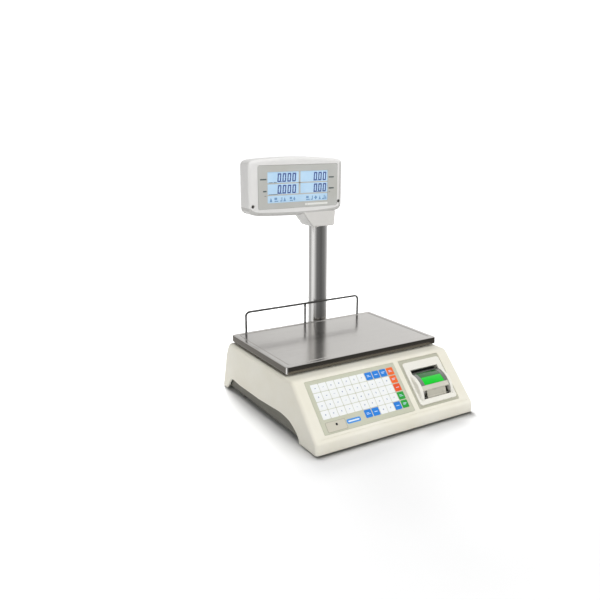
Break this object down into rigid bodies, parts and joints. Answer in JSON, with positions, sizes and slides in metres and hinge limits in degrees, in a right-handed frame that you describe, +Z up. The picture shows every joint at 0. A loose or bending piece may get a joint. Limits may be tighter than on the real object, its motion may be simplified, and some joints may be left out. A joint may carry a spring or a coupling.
{
  "type": "retail price scale",
  "caption": "Counter price scale with sheet-steel platter and wire rail, sloping keyboard panel, receipt printer with hinged lid, and a swivelling two-sided display head on a column.",
  "frame": {"origin": "bottom centre of the object's box, on the table under the feet", "axes": "+X to the operator's right, +Y away from the operator towards the display column, +Z up"},
  "size_m": [0.38, 0.4103, 0.5054],
  "materials": {
    "casing_ivory": "fine-textured ivory ABS",
    "tray_grey": "dark grey moulded plastic",
    "platter_steel": "brushed stainless sheet",
    "rail_steel": "polished stainless wire",
    "column_steel": "polished round tube",
    "overlay_grey": "printed polyester overlay",
    "printer_white": "satin white plastic",
    "black_plastic": "black plastic",
    "smoke_plastic": "tinted clear plastic",
    "green_plastic": "translucent green plastic",
    "paper_white": null,
    "cardboard": "card tube",
    "rubber_black": "matt black rubber",
    "alloy": "milled aluminium",
    "motor_steel": "zinc plated steel",
    "circuit_board": "green solder resist",
    "head_white": "off-white ABS",
    "fascia_grey": "printed grey-beige film",
    "lcd_blue": "backlit liquid crystal panel",
    "brass": "turned brass",
    "nylon": "natural nylon",
    "plated_screw": "zinc plated",
    "level_vial": "clear vial with tinted liquid"
  },
  "bodies": {
    "base": {"top_casing": "casing_ivory", "base_tray": "tray_grey", "keyboard_overlay": "overlay_grey", "power_lamp": "black_plastic", "keypad_board": "circuit_board", "printer_bezel": "printer_white", "lid_hinge_pin": "plated_screw", "tear_bar": "plated_screw", "printer_chassis": "black_plastic", "thermal_head": "alloy", "paper_motor": "motor_steel", "load_cell": "alloy", "load_cell_base_block": "alloy", "load_cell_top_block": "alloy", "load_cell_bolt_lower_outer": "plated_screw", "load_cell_bolt_lower_inner": "plated_screw", "load_cell_bolt_upper_inner": "plated_screw", "load_cell_bolt_upper_outer": "plated_screw", "platter_spider": "alloy", "platter_pad_front_left": "rubber_black", "platter_pad_front_right": "rubber_black", "platter_pad_rear_left": "rubber_black", "platter_pad_rear_right": "rubber_black", "spirit_level": "level_vial", "main_board": "circuit_board", "power_supply": "circuit_board", "rear_panel": "motor_steel", "mains_inlet": "black_plastic", "power_switch_frame": "black_plastic", "data_ports": "motor_steel", "column_socket": "head_white", "column_tube": "column_steel", "column_clamp_screw": "plated_screw", "column_bolt_left": "plated_screw", "column_bolt_right": "plated_screw", "display_lead": "rubber_black", "swivel_plug": "nylon"},
    "platter_group": {"platter": "platter_steel", "wire_rail": "rail_steel"},
    "display_head": {"head_front_shell": "head_white", "head_rear_shell": "head_white", "head_screw_left": "plated_screw", "head_screw_right": "plated_screw", "operator_fascia": "fascia_grey", "customer_fascia": "fascia_grey", "operator_lcd": "lcd_blue", "customer_lcd": "lcd_blue", "display_board": "circuit_board"},
    "printer_lid_group": {"printer_lid": "smoke_plastic", "lid_window": "green_plastic"},
    "paper": {"paper_roll": "paper_white", "paper_core": "cardboard"},
    "platen": {"platen_roller": "rubber_black", "platen_gear": "nylon"},
    "pinion": {"motor_pinion": "brass"},
    "rocker": {"power_rocker": "black_plastic"},
    "foot_fl": {"foot_front_left": "rubber_black"},
    "foot_fr": {"foot_front_right": "rubber_black"},
    "foot_rl": {"foot_rear_left": "rubber_black"},
    "foot_rr": {"foot_rear_right": "rubber_black"}
  },
  "joints": [
    {"name": "platter_lift", "type": "slide", "parent": "base", "child": "platter_group", "axis": [0, 0, 1], "range_m": [0, 0.06]},
    {"name": "head_swivel", "type": "hinge", "parent": "base", "child": "display_head", "pos_m": [0.053, 0.1758, 0.363], "axis": [0, 0, 1], "range_deg": [-165, 165]},
    {"name": "printer_lid_hinge", "type": "hinge", "parent": "base", "child": "printer_lid_group", "pos_m": [0.1095, -0.18215, 0.04737], "axis": [1, 0, 0], "range_deg": [0, 85]},
    {"name": "paper_roll_spin", "type": "hinge", "parent": "base", "child": "paper", "pos_m": [0.1095, -0.15157, 0.05547], "axis": [1, 0, 0], "continuous": true},
    {"name": "platen_spin", "type": "hinge", "parent": "base", "child": "platen", "pos_m": [0.1095, -0.12908, 0.07825], "axis": [1, 0, 0], "continuous": true},
    {"name": "motor_pinion_spin", "type": "hinge", "parent": "base", "child": "pinion", "pos_m": [0.147, -0.11652, 0.0697], "axis": [1, 0, 0], "continuous": true},
    {"name": "power_rocker_tilt", "type": "hinge", "parent": "base", "child": "rocker", "pos_m": [-0.1065, 0.1754, 0.04818], "axis": [1, 0, 0], "range_deg": [-16, 0]},
    {"name": "foot_front_left_screw", "type": "slide", "parent": "base", "child": "foot_fl", "axis": [0, 0, -1], "range_m": [0, 0.006]},
    {"name": "foot_front_right_screw", "type": "slide", "parent": "base", "child": "foot_fr", "axis": [0, 0, -1], "range_m": [0, 0.006]},
    {"name": "foot_rear_left_screw", "type": "slide", "parent": "base", "child": "foot_rl", "axis": [0, 0, -1], "range_m": [0, 0.006]},
    {"name": "foot_rear_right_screw", "type": "slide", "parent": "base", "child": "foot_rr", "axis": [0, 0, -1], "range_m": [0, 0.006]}
  ],
  "couplings": [
    {"joint": "motor_pinion_spin", "follows": "platen_spin", "ratio": -2.1667}
  ]
}
